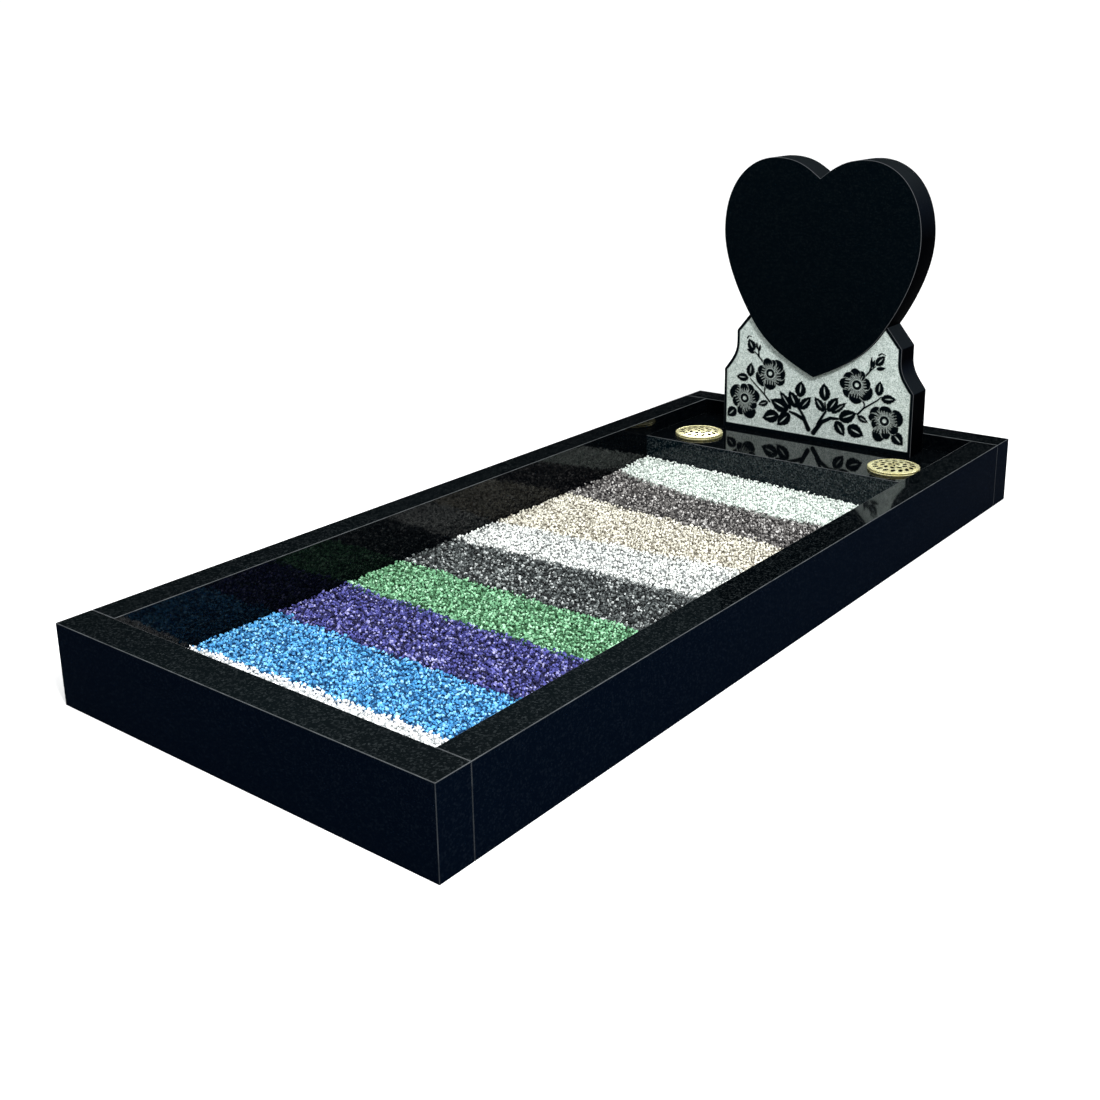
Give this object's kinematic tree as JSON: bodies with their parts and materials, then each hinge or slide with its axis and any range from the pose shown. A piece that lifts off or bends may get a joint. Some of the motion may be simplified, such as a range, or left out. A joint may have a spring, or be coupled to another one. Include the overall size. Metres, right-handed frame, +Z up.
{
  "type": "kerbed heart headstone",
  "caption": "Heart-shaped headstone on a plinth inside a full kerb set, with sunken flower pots and bands of coloured chippings.",
  "frame": {"origin": "middle of the kerb set's footprint, on its underside", "axes": "+Z up, +Y along the grave from the front kerb to the headstone, so the headstone faces -Y; +X to the right of a person who faces the headstone"},
  "size_m": [0.862, 1.98, 0.7993],
  "materials": {
    "granite": "polished",
    "pot_metal": "satin",
    "white_chips": "matte",
    "blue_chips": "matte",
    "purple_chips": "matte",
    "green_chips": "matte",
    "dark_grey_chips": "matte",
    "white_fleck_chips": "matte",
    "cream_chips": "matte",
    "brown_grey_chips": "matte",
    "pale_green_chips": "matte"
  },
  "bodies": {
    "root": {"front_kerb": "granite", "back_kerb": "granite", "left_kerb": "granite", "right_kerb": "granite", "plinth": "granite", "headstone": "granite", "flower_pot_left": "pot_metal", "flower_pot_right": "pot_metal", "pot_lid_left": "pot_metal", "pot_lid_right": "pot_metal", "chippings_white_front": "white_chips", "chippings_blue": "blue_chips", "chippings_purple": "purple_chips", "chippings_green": "green_chips", "chippings_dark_grey": "dark_grey_chips", "chippings_white_fleck": "white_fleck_chips", "chippings_cream": "cream_chips", "chippings_brown_grey": "brown_grey_chips", "chippings_pale_green": "pale_green_chips"}
  },
  "joints": []
}
